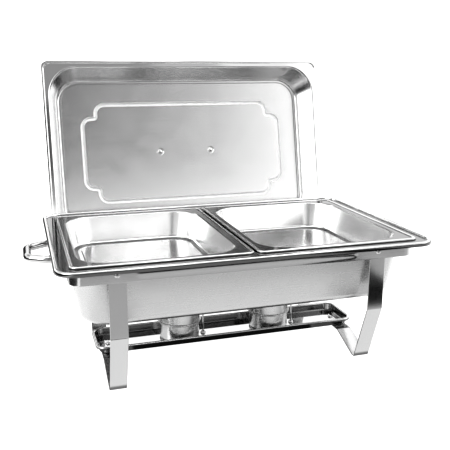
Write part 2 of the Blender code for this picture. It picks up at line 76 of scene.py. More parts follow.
# Pans
RIM_LENGTH, RIM_WIDTH, PAN_DEPTH, PAN_METAL = 0.574, 0.375, 0.0982, 0.0010
END_SPREAD = 0.016
FOOD_LENGTH, FOOD_WIDTH, FOOD_DEPTH, FOOD_METAL = 0.2646, 0.3250, 0.0500, 0.0009
FLOOR_RISE = 0.0018
LID_LENGTH, LID_HEIGHT, LID_DEPTH, LID_METAL = 0.544, 0.337, 0.052, 0.0008
PANEL_RISE = 0.0014
SCREW_X = 0.0515
# The insets at which a rolled rim's lip hangs straight down
LIP = (-1.0, 0.0001)

# Embossed cartouche of the lid
CARTOUCHE = (0.399, 0.187)
NOTCH = 0.026
NOTCH_ROUND, NOTCH_INNER = 0.017, 0.0045
BEAD_HALF, BEAD_DEPTH, BEAD_STEPS = 0.0038, 0.0008, 8
DIMPLE_RADIUS, DIMPLE_SLOPE, SCREW_HOLE_RADIUS, DIMPLE_STEPS = 0.0075, 0.0022, 0.0028, 5

# Tray and burners
TRAY_LENGTH, TRAY_WIDTH, TRAY_METAL = 0.448, 0.088, 0.0010
PEG_HOLE_RADIUS = 0.0026
CUP_RADIUS, CUP_HEIGHT, CUP_LIP = 0.0335, 0.0299, 0.003
COVER_HEIGHT, COVER_HOLE = 0.0240, 0.019
SPUN_METAL = 0.001

SIDES = (("left", -1), ("right", 1))
SHARP_ANGLE = radians(35)

# Studio: what the camera sees of the floor, and what the steel sees around it
FLOOR_SHADE, FLOOR_GLOW = 0.45, 0.68
WALL_SHADE, TABLE_SHADE, CARD_SHADE = 0.95, 0.98, 0.01
DOME_RADIUS = 14.0
ALL_ROUND = 200.0
FAR = 30.0
DARK, GREY = 0.03, 0.46
# Each patch: from and to across, from and to up, softness of its edges, shade. On the table,
# across is X and up is Y, in metres; on the dome they are azimuth and elevation, in degrees.
TABLE_PATCHES = [
    (-FAR, FAR, 0.30, FAR, 0.20, GREY),                      # behind the object
    (-0.42, FAR, -FAR, -0.14, 0.12, 0.78),                   # in front of it
    (-0.50, FAR, -FAR, -0.41, 0.04, GREY),                   # further in front
    (-0.85, FAR, -FAR, -0.870, 0.015, 0.02),                 # near, rear, left and right ends
    (-FAR, FAR, 1.1, FAR, 0.3, DARK),
    (-FAR, -0.66, -FAR, FAR, 0.06, DARK),
    (1.5, FAR, -FAR, FAR, 0.3, DARK),
    (-0.165, 0.165, -0.187, 0.15, 0.015, DARK),              # the shade under the object
    (-0.225, -0.168, -0.355, -0.275, 0.010, 0.02),           # for the legs' dark knees
    (0.225, 0.31, -0.355, -0.275, 0.01, 0.30),
    (-0.25, -0.165, -0.179, -0.05, 0.004, 0.25),             # for the legs' grey feet
    (0.165, 0.25, -0.179, -0.05, 0.004, 0.25)]
DOME_PATCHES = [
    (-ALL_ROUND, -108.0, 34.0, 60.0, 8.0, GREY),             # the rear walls, high up
    (108.0, ALL_ROUND, 34.0, 60.0, 8.0, GREY),
    (-ALL_ROUND, ALL_ROUND, 50.0, 66.0, 8.0, 1.15),          # the edge of the ceiling
    (27.0, 75.0, -5.0, 60.0, 6.0, 1.6),                      # bright walls, right and left
    (-85.0, -42.0, -5.0, 60.0, 6.0, 1.5),
    (-44.0, 26.0, 13.8, 35.0, 1.5, 0.76),                    # the front wall, darker to the left
    (-44.0, 19.0, 13.8, 35.0, 1.5, GREY),
    (-44.0, 12.0, 13.8, 35.0, 1.5, 0.30),
    (-3.0, 2.5, 16.0, 23.0, 1.5, 0.05),                      # a dark strip on it
    (-16.0, -5.0, 8.0, 14.0, 4.0, 0.12),                     # for the pans' dark rear corners
    (-38.0, 60.0, 32.5, 52.0, 2.5, DARK),                    # dark front ceiling, for the ledges
    (8.0, 17.0, 35.0, 43.0, 2.0, 3.5),                       # a lamp, for the left pan's floor
    (3.0, 27.0, 5.0, 12.8, 1.5, 1.20),                       # low light, for the pans' rear walls
    (-178.0, -150.0, 3.0, 14.0, 3.0, 0.05),                  # dark low walls at the rear left
    (-150.0, -110.0, -5.0, 14.0, 5.0, 0.04),
    (-ALL_ROUND, ALL_ROUND, 68.0, 100.0, 6.0, 0.05),         # the dark ceiling
    (-ALL_ROUND, ALL_ROUND, -30.0, 4.5, 1.0, DARK)]          # the dark foot of the walls
DARK_CARD = (0.385, -0.635, 0.0008)
DARK_CARD_SIZE = (0.13, 0.38)
DARK_CARD_TURN = radians(2)

bodies = frame["record"]["behaviour"]["bodies"]
body_of = {node: body for body, nodes in bodies.items() for node in nodes}


# ------------------------------------------------------------------- materials

ALONG_X = (6.0, 700.0, 700.0)
ALONG_Z = (700.0, 700.0, 6.0)
EVEN = (500.0, 500.0, 500.0)
SMUDGES, WAVES = (23.0, 19.0, 27.0), (7.0, 9.0, 8.0)
SMUDGE_TINT, SMUDGE_GLOSS, GRAIN_GLOSS = 0.02, 0.15, 0.1
NOISE_LOW, NOISE_HIGH = 0.3, 0.7


def link(tree, source, output, target, socket):
    tree.links.new(source.outputs[output], target.inputs[socket])


def noise(tree, coordinates, scale, detail, name):
    """A noise texture on stretched object coordinates."""
    mapping = tree.nodes.new("ShaderNodeMapping")
    mapping.inputs["Scale"].default_value = scale
    link(tree, coordinates, "Object", mapping, "Vector")
    texture = tree.nodes.new("ShaderNodeTexNoise")
    texture.name = name
    texture.inputs["Scale"].default_value = 1.0
    texture.inputs["Detail"].default_value = detail
    texture.inputs["Roughness"].default_value = 0.6
    link(tree, mapping, "Vector", texture, "Vector")
    return texture


def map_noise(tree, source, low, high):
    """Spreads the middle of a noise's range over low to high."""
    span = tree.nodes.new("ShaderNodeMapRange")
    span.inputs["From Min"].default_value = NOISE_LOW
    span.inputs["From Max"].default_value = NOISE_HIGH
    span.inputs["To Min"].default_value = low
    span.inputs["To Max"].default_value = high
    link(tree, source, "Fac", span, "Value")
    return span


def bump(tree, height, depth):
    node = tree.nodes.new("ShaderNodeBump")
    node.inputs["Strength"].default_value = 1.0
    node.inputs["Distance"].default_value = depth
    link(tree, height, "Fac", node, "Height")
    return node


def steel(name, shade, roughness, grain, grain_depth, wave_depth):
    """Stainless steel: drawn grain, faint smudges, and the slow waves of pressed sheet."""
    material = bpy.data.materials.new(name)
    material.use_nodes = True
    tree = material.node_tree
    shader = tree.nodes["Principled BSDF"]
    shader.inputs["Metallic"].default_value = 1.0
    coordinates = tree.nodes.new("ShaderNodeTexCoord")

    fine = noise(tree, coordinates, grain, 3.0, "grain")
    patches = noise(tree, coordinates, SMUDGES, 4.0, "smudges")
    waves = noise(tree, coordinates, WAVES, 1.0, "sheet waves")

    tint = tree.nodes.new("ShaderNodeMix")
    tint.data_type = "RGBA"
    tint.inputs["A"].default_value = (*[shade * (1 - SMUDGE_TINT)] * 3, 1.0)
    tint.inputs["B"].default_value = (*[min(1.0, shade * (1 + SMUDGE_TINT))] * 3, 1.0)
    link(tree, patches, "Fac", tint, "Factor")
    link(tree, tint, "Result", shader, "Base Color")

    gloss = map_noise(tree, patches, roughness * (1 - SMUDGE_GLOSS), roughness * (1 + SMUDGE_GLOSS))
    streak = map_noise(tree, fine, -GRAIN_GLOSS * roughness, GRAIN_GLOSS * roughness)
    total = tree.nodes.new("ShaderNodeMath")
    total.operation = "ADD"
    total.use_clamp = True
    link(tree, gloss, "Result", total, 0)
    link(tree, streak, "Result", total, 1)
    link(tree, total, "Value", shader, "Roughness")

    sheet = bump(tree, waves, wave_depth)
    scratches = bump(tree, fine, grain_depth)
    link(tree, sheet, "Normal", scratches, "Normal")
    link(tree, scratches, "Normal", shader, "Normal")
    return material


# Name, shade, roughness, grain, depth of the grain, depth of the waves
SATIN_PAN = steel("satin_pan_sheet", 0.62, 0.27, ALONG_X, 0.000004, 0.0002)
# Painted light: a lightened copy of the steel, so the food pans read near-white beside the lid
FOOD_PAN_PAINTED_LIGHT = steel("food_pan_sheet_painted_light", 0.83, 0.22, EVEN, 0.000003, 0.0002)
# Painted shade: a darkened copy of the rim steel, for ledges, lips and the tray's inner wall
RIM_PAINTED_SHADE = steel("shaded_rim_edge", 0.26, 0.10, EVEN, 0.000003, 0.0001)
# Painted shade: a darkened copy of the food pan steel, for dark lines at the pans' floor fillet and
# step
FLOOR_EDGE_PAINTED_SHADE = steel("shaded_floor_edge", 0.16, 0.24, EVEN, 0.000003, 0.0001)
LID_SHEET = steel("satin_lid_sheet", 0.71, 0.21, ALONG_X, 0.000002, 0.0001)
# Painted highlight: a lightened copy of the lid steel, so the pressed bead reads as a white line
LID_BEAD_PAINTED_HIGHLIGHT = steel("lid_bead_painted_highlight", 0.95, 0.50, EVEN, 0.00001, 0.0001)
BAND_STEEL = steel("satin_band_strip", 0.70, 0.14, ALONG_X, 0.00001, 0.0001)
LEG_STEEL = steel("satin_leg_strip", 0.65, 0.12, ALONG_Z, 0.00001, 0.0001)
RIM_STEEL = steel("polished_rim", 0.80, 0.07, ALONG_X, 0.000004, 0.0001)
BURNER_STEEL = steel("satin_burner_sheet", 0.66, 0.27, EVEN, 0.000006, 0.0001)
# Painted shade: a darkened copy of the mirror steel, so the end handles show dark reflections
HANDLE_PAINTED_SHADE_STEEL = steel("polished_handle_painted_shade", 0.60, 0.07, EVEN, 0.000003, 0.0001)
MIRROR = steel("mirror_steel", 0.76, 0.05, EVEN, 0.000003, 0.0001)
SMALL_PARTS = steel("polished_fastener", 0.78, 0.12, EVEN, 0.000004, 0.00002)


# ------------------------------------------------------------- shape functions

def rounded_path(points, radii, steps):
    """A polyline whose inner corners are rounded by arcs of the given radii."""
    points = [Vector(point) for point in points]
    path = [points[0]]
    for before, corner, after, radius in zip(points, points[1:-1], points[2:], radii):
        path += corner_points(before, corner, after, radius, steps)
    path.append(points[-1])
    return path


def rounded_profile(points, radii, steps):
    """A rounded path in the plane, as plain pairs."""
    return [(point.x, point.y) for point in rounded_path(points, radii, steps)]


def rounded_loop(points, radii, steps):
    """The same for a closed outline: every corner is rounded."""
    points = [Vector(point) for point in points]
    path = []
    for index, (corner, radius) in enumerate(zip(points, radii)):
        before, after = points[index - 1], points[(index + 1) % len(points)]
        path += corner_points(before, corner, after, radius, steps)
    return path


def corner_points(before, corner, after, radius, steps):
    """The arc that rounds one corner of a path."""
    inward = (before - corner).normalized()
    outward = (after - corner).normalized()
    half_angle = inward.angle(outward) / 2
    centre = corner + (inward + outward).normalized() * radius / sin(half_angle)
    start = corner + inward * radius / tan(half_angle) - centre
    sideways = -inward * radius
    sweep_angle = pi - 2 * half_angle
    angles = [sweep_angle * step / steps for step in range(steps + 1)]
    return [centre + start * cos(angle) + sideways * sin(angle) for angle in angles]


def rounded_rectangle(length, width, radius, steps=14):
    """Points of a rounded rectangle, counter-clockwise seen from above."""
    x, y = length / 2 - radius, width / 2 - radius
    outline = []
    for sign_x, sign_y, first in ((1, 1, 0), (-1, 1, pi / 2), (-1, -1, pi), (1, -1, 3 * pi / 2)):
        for step in range(steps + 1):
            angle = first + pi / 2 * step / steps
            outline.append((sign_x * x + radius * cos(angle),
                            sign_y * y + radius * sin(angle)))
    return outline


def between(value, keys):
    """The value read off a list of (position, value) keys, in straight lines between them."""
    for (left, low), (right, high) in zip(keys, keys[1:]):
        if value <= right:
            return low + (high - low) * max(0.0, value - left) / (right - left)
    return keys[-1][1]


def finish_mesh(name, mesh_data):
    mesh = bpy.data.meshes.new(name)
    mesh_data.to_mesh(mesh)
    mesh_data.free()
    mesh.shade_smooth()
    mesh.set_sharp_from_angle(angle=SHARP_ANGLE)
    obj = bpy.data.objects.new(name, mesh)
    bpy.context.scene.collection.objects.link(obj)
    return obj


def add_ring(mesh_data, points):
    return [mesh_data.verts.new(point) for point in points]


def join_rings(mesh_data, first, second, material=0):
    for index in range(len(first)):
        following = (index + 1) % len(first)
        face = mesh_data.faces.new((first[index], first[following],
                                    second[following], second[index]))
        face.material_index = material


def join_all(mesh_data, rings, material=0):
    for first, second in zip(rings, rings[1:]):
        join_rings(mesh_data, first, second, material)


def cap_ends(mesh_data, rings):
    mesh_data.faces.new(rings[0][::-1])
    mesh_data.faces.new(rings[-1])


def ring_edges(mesh_data, ring):
    return [mesh_data.edges.get((ring[index - 1], ring[index])) or
            mesh_data.edges.new((ring[index - 1], ring[index])) for index in range(len(ring))]


def fill_between(mesh_data, rings, material=0):
    """Fills the flat region inside the first ring and outside the others, facing up."""
    edges = [edge for ring in rings for edge in ring_edges(mesh_data, ring)]
    made = bmesh.ops.triangle_fill(mesh_data, use_beauty=True, edges=edges, normal=(0, 0, 1))
    for item in made["geom"]:
        if isinstance(item, bmesh.types.BMFace):
            item.material_index = material
            item.normal_update()
            if item.normal.z < 0:
                item.normal_flip()


def thicken(obj, thickness):
    """Gives a sheet its thickness behind its front face."""
    solidify = obj.modifiers.new("sheet", "SOLIDIFY")
    solidify.thickness = thickness
    solidify.offset = -1
    solidify.use_even_offset = True


def shell_rings(mesh_data, length, width, profile, radii, polished_reach, spread=0.0, shaded=()):
    """Rings of a pan pressed from sheet; the profile is (inset, height) from the edge inwards.

    The corner radius is read off (inset, radius) keys, and the body is longer than its inset
    says by the spread at each end. Material 0 reaches in as far as polished_reach and material
    1 covers the rest, except between the insets (from, to, material) listed as shaded.
    """
    rings = []
    for inset, height in profile:
        reach = spread if inset > 2 * spread else 0.0
        outline = rounded_rectangle(length - 2 * (inset - reach), width - 2 * inset,
                                    between(inset, radii))
        rings.append(add_ring(mesh_data, [(x, y, height) for x, y in outline]))
    for (inset, _), first, second in zip(profile, rings, rings[1:]):
        material = 0 if inset < polished_reach else 1
        for start, end, special in shaded:
            if start <= inset < end:
                material = special
        join_rings(mesh_data, first, second, material=material)
    return rings


def sweep(name, path, section, side):
    """A section of (across, out) points swept along a flat path; across runs along side."""
    path = [Vector(point) for point in path]
    side = Vector(side).normalized()
    mesh_data = bmesh.new()
    rings = []
    for index, point in enumerate(path):
        before = path[index - 1] if index else point
        after = path[index + 1] if index + 1 < len(path) else point
        tangent = (after - before).normalized()
        out = tangent.cross(side)
        rings.append(add_ring(mesh_data, [point + side * u + out * v for u, v in section]))
    join_all(mesh_data, rings)
    cap_ends(mesh_data, rings)
    bmesh.ops.recalc_face_normals(mesh_data, faces=mesh_data.faces)
    return finish_mesh(name, mesh_data)


def circle(radius, steps):
    return [(radius * cos(2 * pi * step / steps), radius * sin(2 * pi * step / steps))
            for step in range(steps)]


def strip_section(width, metal):
    return rounded_rectangle(width, metal, 0.0005, steps=3)


def turned(name, profile, steps=64):
    """A piece turned about Z. The profile is (radius, height); a radius of 0 ends in a point."""
    mesh_data = bmesh.new()
    rings = []
    for radius, height in profile:
        if radius < 1e-7:
            rings.append([mesh_data.verts.new((0, 0, height))])
        else:
            rings.append(add_ring(mesh_data, [(x, y, height) for x, y in circle(radius, steps)]))
    for first, second in zip(rings, rings[1:]):
        if len(first) > 1 and len(second) > 1:
            join_rings(mesh_data, first, second)
        elif len(first) > 1 or len(second) > 1:
            tip, ring = sorted((first, second), key=len)
            for index in range(steps):
                mesh_data.faces.new((tip[0], ring[index], ring[(index + 1) % steps]))
    if len(rings[0]) > 1 and len(rings[-1]) > 1:
        join_rings(mesh_data, rings[-1], rings[0])
    bmesh.ops.recalc_face_normals(mesh_data, faces=mesh_data.faces)
    return finish_mesh(name, mesh_data)


def cut_holes(obj, cutters):
    """Cuts the holes for good, so that no cutter is left in the scene."""
    for cutter in cutters:
        cut = obj.modifiers.new("hole", "BOOLEAN")
        cut.operation = "DIFFERENCE"
        cut.solver = "EXACT"
        cut.object = cutter
    bpy.context.view_layer.update()
    evaluated = obj.evaluated_get(bpy.context.evaluated_depsgraph_get())
    mesh = bpy.data.meshes.new_from_object(evaluated)
    obj.modifiers.clear()
    obj.data = mesh
    mesh.shade_smooth()
    mesh.set_sharp_from_angle(angle=SHARP_ANGLE)
    for cutter in cutters:
        bpy.data.objects.remove(cutter, do_unlink=True)


def round_cutter(radius, depth, place, axis, stretch=0.0):
    """A cylinder along an axis, for a round hole, or a slot where it is stretched along X."""
    cutter = turned("cutter", [(0, depth / 2), (radius, depth / 2), (radius, -depth / 2),
                               (0, -depth / 2)], steps=24)
    for vertex in cutter.data.vertices:
        if abs(vertex.co.x) > 1e-6:
            vertex.co.x += stretch / 2 * (1 if vertex.co.x > 0 else -1)
    turn = {"X": Matrix.Rotation(pi / 2, 4, "Y"), "Y": Matrix.Rotation(pi / 2, 4, "X"),
            "Z": Matrix.Identity(4)}[axis]
    cutter.data.transform(Matrix.Translation(place) @ turn)
    return cutter


# -------------------------------------------------------- pieces on the frame

def box_centre(low, high):
    return (Vector(low) + Vector(high)) / 2


def piece_box(obj):
    """A piece's lowest and highest corners, with its modifiers."""
    bpy.context.view_layer.update()
    evaluated = obj.evaluated_get(bpy.context.evaluated_depsgraph_get())
    corners = [evaluated.matrix_world @ Vector(corner) for corner in evaluated.bound_box]
    return ([min(corner[axis] for corner in corners) for axis in range(3)],
            [max(corner[axis] for corner in corners) for axis in range(3)])


def seat(obj, node):
    """Moves a piece so that its box has the same centre as the node's box."""
    obj.location += box_centre(*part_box(node)) - box_centre(*piece_box(obj))


def stand_for(obj, node, *materials):
    """Finishes a piece: its materials, its body, and the node that it replaces."""
    for material in materials:
        obj.data.materials.append(material)
    normals = obj.modifiers.new("flat faces stay flat", "WEIGHTED_NORMAL")
    normals.keep_sharp = True
    normals.weight = 90
    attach(obj, body_of[node])
    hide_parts(node)


def seat_for(obj, node, *materials):
    seat(obj, node)
    stand_for(obj, node, *materials)


# ----------------------------------------------------------------------- stand

def smooth_step(value):
    value = max(0.0, min(1.0, value))
    return value * value * (3 - 2 * value)


def rib_depth(x, z, ends):
    """How far the stiffening rib is pressed out at a point of the band's long side."""
    left, right = ends
    nearest = max(left + RIB_HALF, min(right - RIB_HALF, x))
    distance = ((x - nearest) ** 2 + (z - RIB_Z) ** 2) ** 0.5
    return RIB_DEPTH * (1 - smooth_step((distance - RIB_HALF + RIB_SLOPE) / (2 * RIB_SLOPE)))


def band_outline():
    """The band's plan, with closely spaced points along both long sides."""
    corners = rounded_rectangle(BAND_LENGTH, BAND_WIDTH, BAND_CORNER)
    outline = []
    for index, (x, y) in enumerate(corners):
        next_x = corners[(index + 1) % len(corners)][0]
        outline.append((x, y))
        if abs(next_x - x) > BAND_LENGTH / 2:
            outline += [(x + (next_x - x) * step / BAND_COLUMNS, y)
                        for step in range(1, BAND_COLUMNS)]
    return outline


def make_band():
    mesh_data = bmesh.new()
    outline = band_outline()
    rings = []
    straight = BAND_WIDTH / 2 - 0.0001
    for row in range(BAND_ROWS + 1):
        z = BAND_HEIGHT * row / BAND_ROWS
        points = []
        for x, y in outline:
            if y < -straight:
                y -= rib_depth(x, z, FRONT_RIB)
            elif y > straight:
                y += rib_depth(x, z, REAR_RIB)
            points.append((x, y, z))
        rings.append(add_ring(mesh_data, points))
    join_all(mesh_data, rings)
    band = finish_mesh("frame_band_strip", mesh_data)
    thicken(band, BAND_METAL)
    edge = band.modifiers.new("edge", "BEVEL")
    edge.width = 0.0003
    edge.segments = 2
    edge.limit_method = "ANGLE"
    edge.angle_limit = radians(50)
    seat_for(band, "frame_band", BAND_STEEL)


def seat_outwards(obj, node, axis, sign):
    """Seats a piece on its node and lines it up with the node's outer end along one axis."""
    seat(obj, node)
    end = 1 if sign > 0 else 0
    obj.location[axis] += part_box(node)[end][axis] - piece_box(obj)[end][axis]


def make_rivet(node, head, axis, sign, grip, tail_head=True, shank=0.0024):
    """A rivet through a grip, with a domed head on the outside and a flat tail inside.

    The head is the radius of its dome, and the sign says which way along the axis it faces.
    """
    profile = rounded_profile([(0, head * 0.50), (head * 0.72, head * 0.48), (head, 0.0003)],
                              (head * 0.62,), steps=8)
    profile += [(head * 0.96, 0.0), (shank, 0.0), (shank, -grip)]
    if tail_head:
        profile += [(head * 0.8, -grip), (head * 0.78, -grip - head * 0.22),
                    (0, -grip - head * 0.24)]
    else:
        profile.append((0, -grip))
    obj = turned(f"{node}_turned", profile, steps=40)
    turn = {(1, -1): Matrix.Rotation(pi / 2, 4, "X"), (1, 1): Matrix.Rotation(-pi / 2, 4, "X"),
            (0, -1): Matrix.Rotation(-pi / 2, 4, "Y"), (0, 1): Matrix.Rotation(pi / 2, 4, "Y"),
            (2, 1): Matrix.Identity(4)}[(axis, sign)]
    obj.data.transform(turn)
    seat_outwards(obj, node, axis, sign)
    stand_for(obj, node, SMALL_PARTS)


def make_leg(side, sign):
    """One bent strip: down the front, in to the foot, across under the tray and back up."""
    sole = STRIP_METAL / 2
    front = [(-LEG_PLANE, LEG_TOP), (-LEG_PLANE, KNEE_Z), (-FOOT_Y, sole),
             (-FOOT_Y + FOOT_FLAT, sole), (-CROSS_HALF, CROSS_Z)]
    back = [(-y, z) for y, z in reversed(front)]
    radii = (0.0035, 0.0020, 0.0020, 0.008)
    path = [(0, y, z) for y, z in rounded_profile(front + back, radii + radii[::-1], steps=8)]
    leg = sweep(f"leg_{side}_strip", path, strip_section(STRIP_WIDTH, STRIP_METAL), (1, 0, 0))
    slot_x = PEG_X - LEG_X + PEG_SLOT / 2
    cutters = [round_cutter(PEG_SLOT_RADIUS, 0.01, (sign * slot_x, 0, CROSS_Z), "Z",
                            stretch=PEG_SLOT)]
    cutters += [round_cutter(PIVOT_HOLE_RADIUS, 0.02, (0, y, PIVOT_Z), "Y")
                for y in (-LEG_PLANE, LEG_PLANE)]
    cut_holes(leg, cutters)
    seat_for(leg, f"leg_{side}", LEG_STEEL)
    for end, facing in (("front", -1), ("rear", 1)):
        make_rivet(f"leg_rivet_{side}_{end}", head=0.0042, axis=1, sign=facing, grip=0.0041)


def make_end_handle(side, sign):
    """A bar bent into a bow, on a plate riveted to the band's end."""
    plate = plate_piece(f"end_handle_plate_{side}_sheet", length=0.128, width=0.016,
                        thickness=0.002, corner=0.003)
    plate.data.transform(Matrix.Rotation(pi / 2, 4, "Z") @ Matrix.Rotation(pi / 2, 4, "X"))
    seat_for(plate, f"end_handle_plate_{side}", MIRROR)
    root_x, shoulder_x, nose_x, root_y, nose_y = 0.2701, 0.292, 0.318, 0.046, 0.028
    bow = [(root_x, -root_y), (shoulder_x, -root_y), (nose_x, -nose_y),
           (nose_x, nose_y), (shoulder_x, root_y), (root_x, root_y)]
    route = rounded_profile(bow, (0.020, 0.018, 0.018, 0.020), steps=12)
    bar = sweep(f"end_handle_{side}_bow", [(sign * x, y, 0) for x, y in route],
                circle(0.006, 36), (0, 0, 1))
    # The bow takes the darkened polished steel: painted shade
    seat_for(bar, f"end_handle_{side}", HANDLE_PAINTED_SHADE_STEEL)
    for end in ("front", "rear"):
        make_rivet(f"end_handle_rivet_{side}_{end}", head=0.0036, axis=0, sign=sign, grip=0.0041)


def plate_piece(name, length, width, thickness, corner):
    """A flat plate with rounded corners and softened edges."""
    mesh_data = bmesh.new()
    half, edge, edge_steps = thickness / 2, 0.0006, 3
    rows = [(edge, -half)]
    for step in range(1, edge_steps + 1):
        angle = pi / 2 * step / edge_steps
        rows.append((edge * (1 - sin(angle)), -half + edge * (1 - cos(angle))))
    rows += [(inset, -height) for inset, height in reversed(rows)]
    rings = [add_ring(mesh_data, [(x, y, height) for x, y in
                                  rounded_rectangle(length - 2 * inset, width - 2 * inset,
                                                    corner - inset, steps=6)])
             for inset, height in rows]
    join_all(mesh_data, rings)
    cap_ends(mesh_data, rings)
    return finish_mesh(name, mesh_data)


def make_lid_hook(side, tilt):
    """A strip riveted to the band's rear that ends in a slot around the lid's lower edge."""
    edge_y, edge_z = 0.1775, 0.1503
    face = 0.1553

    def lid_point(depth, rise):
        """A point of the leaning lid: so far behind its face, so far above its lower edge."""
        return (edge_y + rise * sin(tilt) + depth * cos(tilt),
                edge_z + rise * cos(tilt) - depth * sin(tilt))

    front, rear = -0.0030, 0.0078
    corners = [(face, 0.1995), (face, 0.1820), lid_point(front, 0.018),
               lid_point(front, -0.0045), lid_point(rear, -0.0045), lid_point(rear, 0.0105)]
    path = rounded_profile(corners, (0.006, 0.006, 0.0042, 0.0042), steps=8)
    hook = sweep(f"lid_hook_{side}_strip", [(0, y, z) for y, z in path],
                 strip_section(0.024, STRIP_METAL), (1, 0, 0))
    seat_for(hook, f"lid_hook_{side}", LEG_STEEL)
    for end in ("inner", "outer"):
        make_rivet(f"lid_hook_rivet_{side}_{end}", head=0.0036, axis=1, sign=1, grip=0.0034,
                   tail_head=False)


# ------------------------------------------------------------------------ pans

def make_water_pan():
    """Rolled rim, flat ledge, deep body with generously rounded bottom edges."""
    keys = [(0.0000, -0.0036), (0.0000, 0.0030), (0.0056, 0.0030), (0.0066, 0.0000),
            (0.0400, 0.0000), (0.0557, -PAN_DEPTH), (0.0800, -PAN_DEPTH)]
    profile = rounded_profile(keys, (0.0024, 0.0024, 0.0010, 0.0032, 0.0130), steps=9)
    radii = [(0.0, 0.031), (0.0066, 0.0255), (0.0372, 0.048), (0.054, 0.044), (0.080, 0.030)]
    body, ledge = 1, 2
    mesh_data = bmesh.new()
    # The lip and the flat ledge take the darkened rim steel: painted shade
    rings = shell_rings(mesh_data, RIM_LENGTH, RIM_WIDTH, profile, radii, polished_reach=0.0395,
                        spread=END_SPREAD, shaded=((*LIP, ledge), (0.0062, 0.0385, ledge)))
    fill_between(mesh_data, [rings[-1]], material=body)
    pan = finish_mesh("water_pan_shell", mesh_data)
    thicken(pan, PAN_METAL)
    seat_for(pan, "water_pan", RIM_STEEL, SATIN_PAN, RIM_PAINTED_SHADE)


def make_food_pan(side):
    """Half-size pan: rolled rim, narrow flange, drawn body, and a raised field in the floor."""
    keys = [(0.0000, -0.0028), (0.0000, 0.0000), (0.0047, 0.0000), (0.0058, -0.0014),
            (0.0153, -0.0014), (0.0258, -FOOD_DEPTH), (0.0385, -FOOD_DEPTH),
            (0.0397, -FOOD_DEPTH + FLOOR_RISE), (0.0600, -FOOD_DEPTH + FLOOR_RISE)]
    profile = rounded_profile(keys, (0.0022, 0.0020, 0.0009, 0.0030, 0.0085, 0.0008, 0.0008),
                              steps=8)
    radii = [(0.0, 0.012), (0.0056, 0.009), (0.0132, 0.049), (0.0166, 0.0465), (0.0242, 0.041),
             (0.0385, 0.033), (0.0397, 0.0325), (0.060, 0.020)]
    body, floor_edge, ledge = 1, 2, 3
    mesh_data = bmesh.new()
    # The lip and flange take the darkened rim steel, and the floor's fillet and step the darkened
    # floor steel: painted shade
    rings = shell_rings(mesh_data, FOOD_LENGTH, FOOD_WIDTH, profile, radii, polished_reach=0.0150,
                        shaded=((*LIP, ledge), (0.0050, 0.0145, ledge),
                                (0.0262, 0.0322, floor_edge), (0.0384, 0.0397, floor_edge)))
    fill_between(mesh_data, [rings[-1]], material=body)
    pan = finish_mesh(f"food_pan_{side}_shell", mesh_data)
    thicken(pan, FOOD_METAL)
    # The body takes the lightened food pan steel: painted light
    seat_for(pan, f"food_pan_{side}", RIM_STEEL, FOOD_PAN_PAINTED_LIGHT, FLOOR_EDGE_PAINTED_SHADE, RIM_PAINTED_SHADE)


# ------------------------------------------------------------------------- lid

def cartouche(offset):
    """The notched outline of the lid's bead, moved out by an offset."""
    half_x, half_y = CARTOUCHE[0] / 2 + offset, CARTOUCHE[1] / 2 + offset
    points, radii = [], []
    for sign_x, sign_y in ((1, 1), (-1, 1), (-1, -1), (1, -1)):
        notch_x, notch_y = half_x - NOTCH, half_y - NOTCH
        corner = [(half_x, notch_y), (notch_x, notch_y), (notch_x, half_y)]
        rounding = [NOTCH_ROUND + offset, NOTCH_INNER - offset, NOTCH_ROUND + offset]
        if sign_x != sign_y:
            corner, rounding = corner[::-1], rounding[::-1]
        points += [(sign_x * x, sign_y * y, 0) for x, y in corner]
        radii += rounding
    return rounded_loop(points, radii, steps=8)


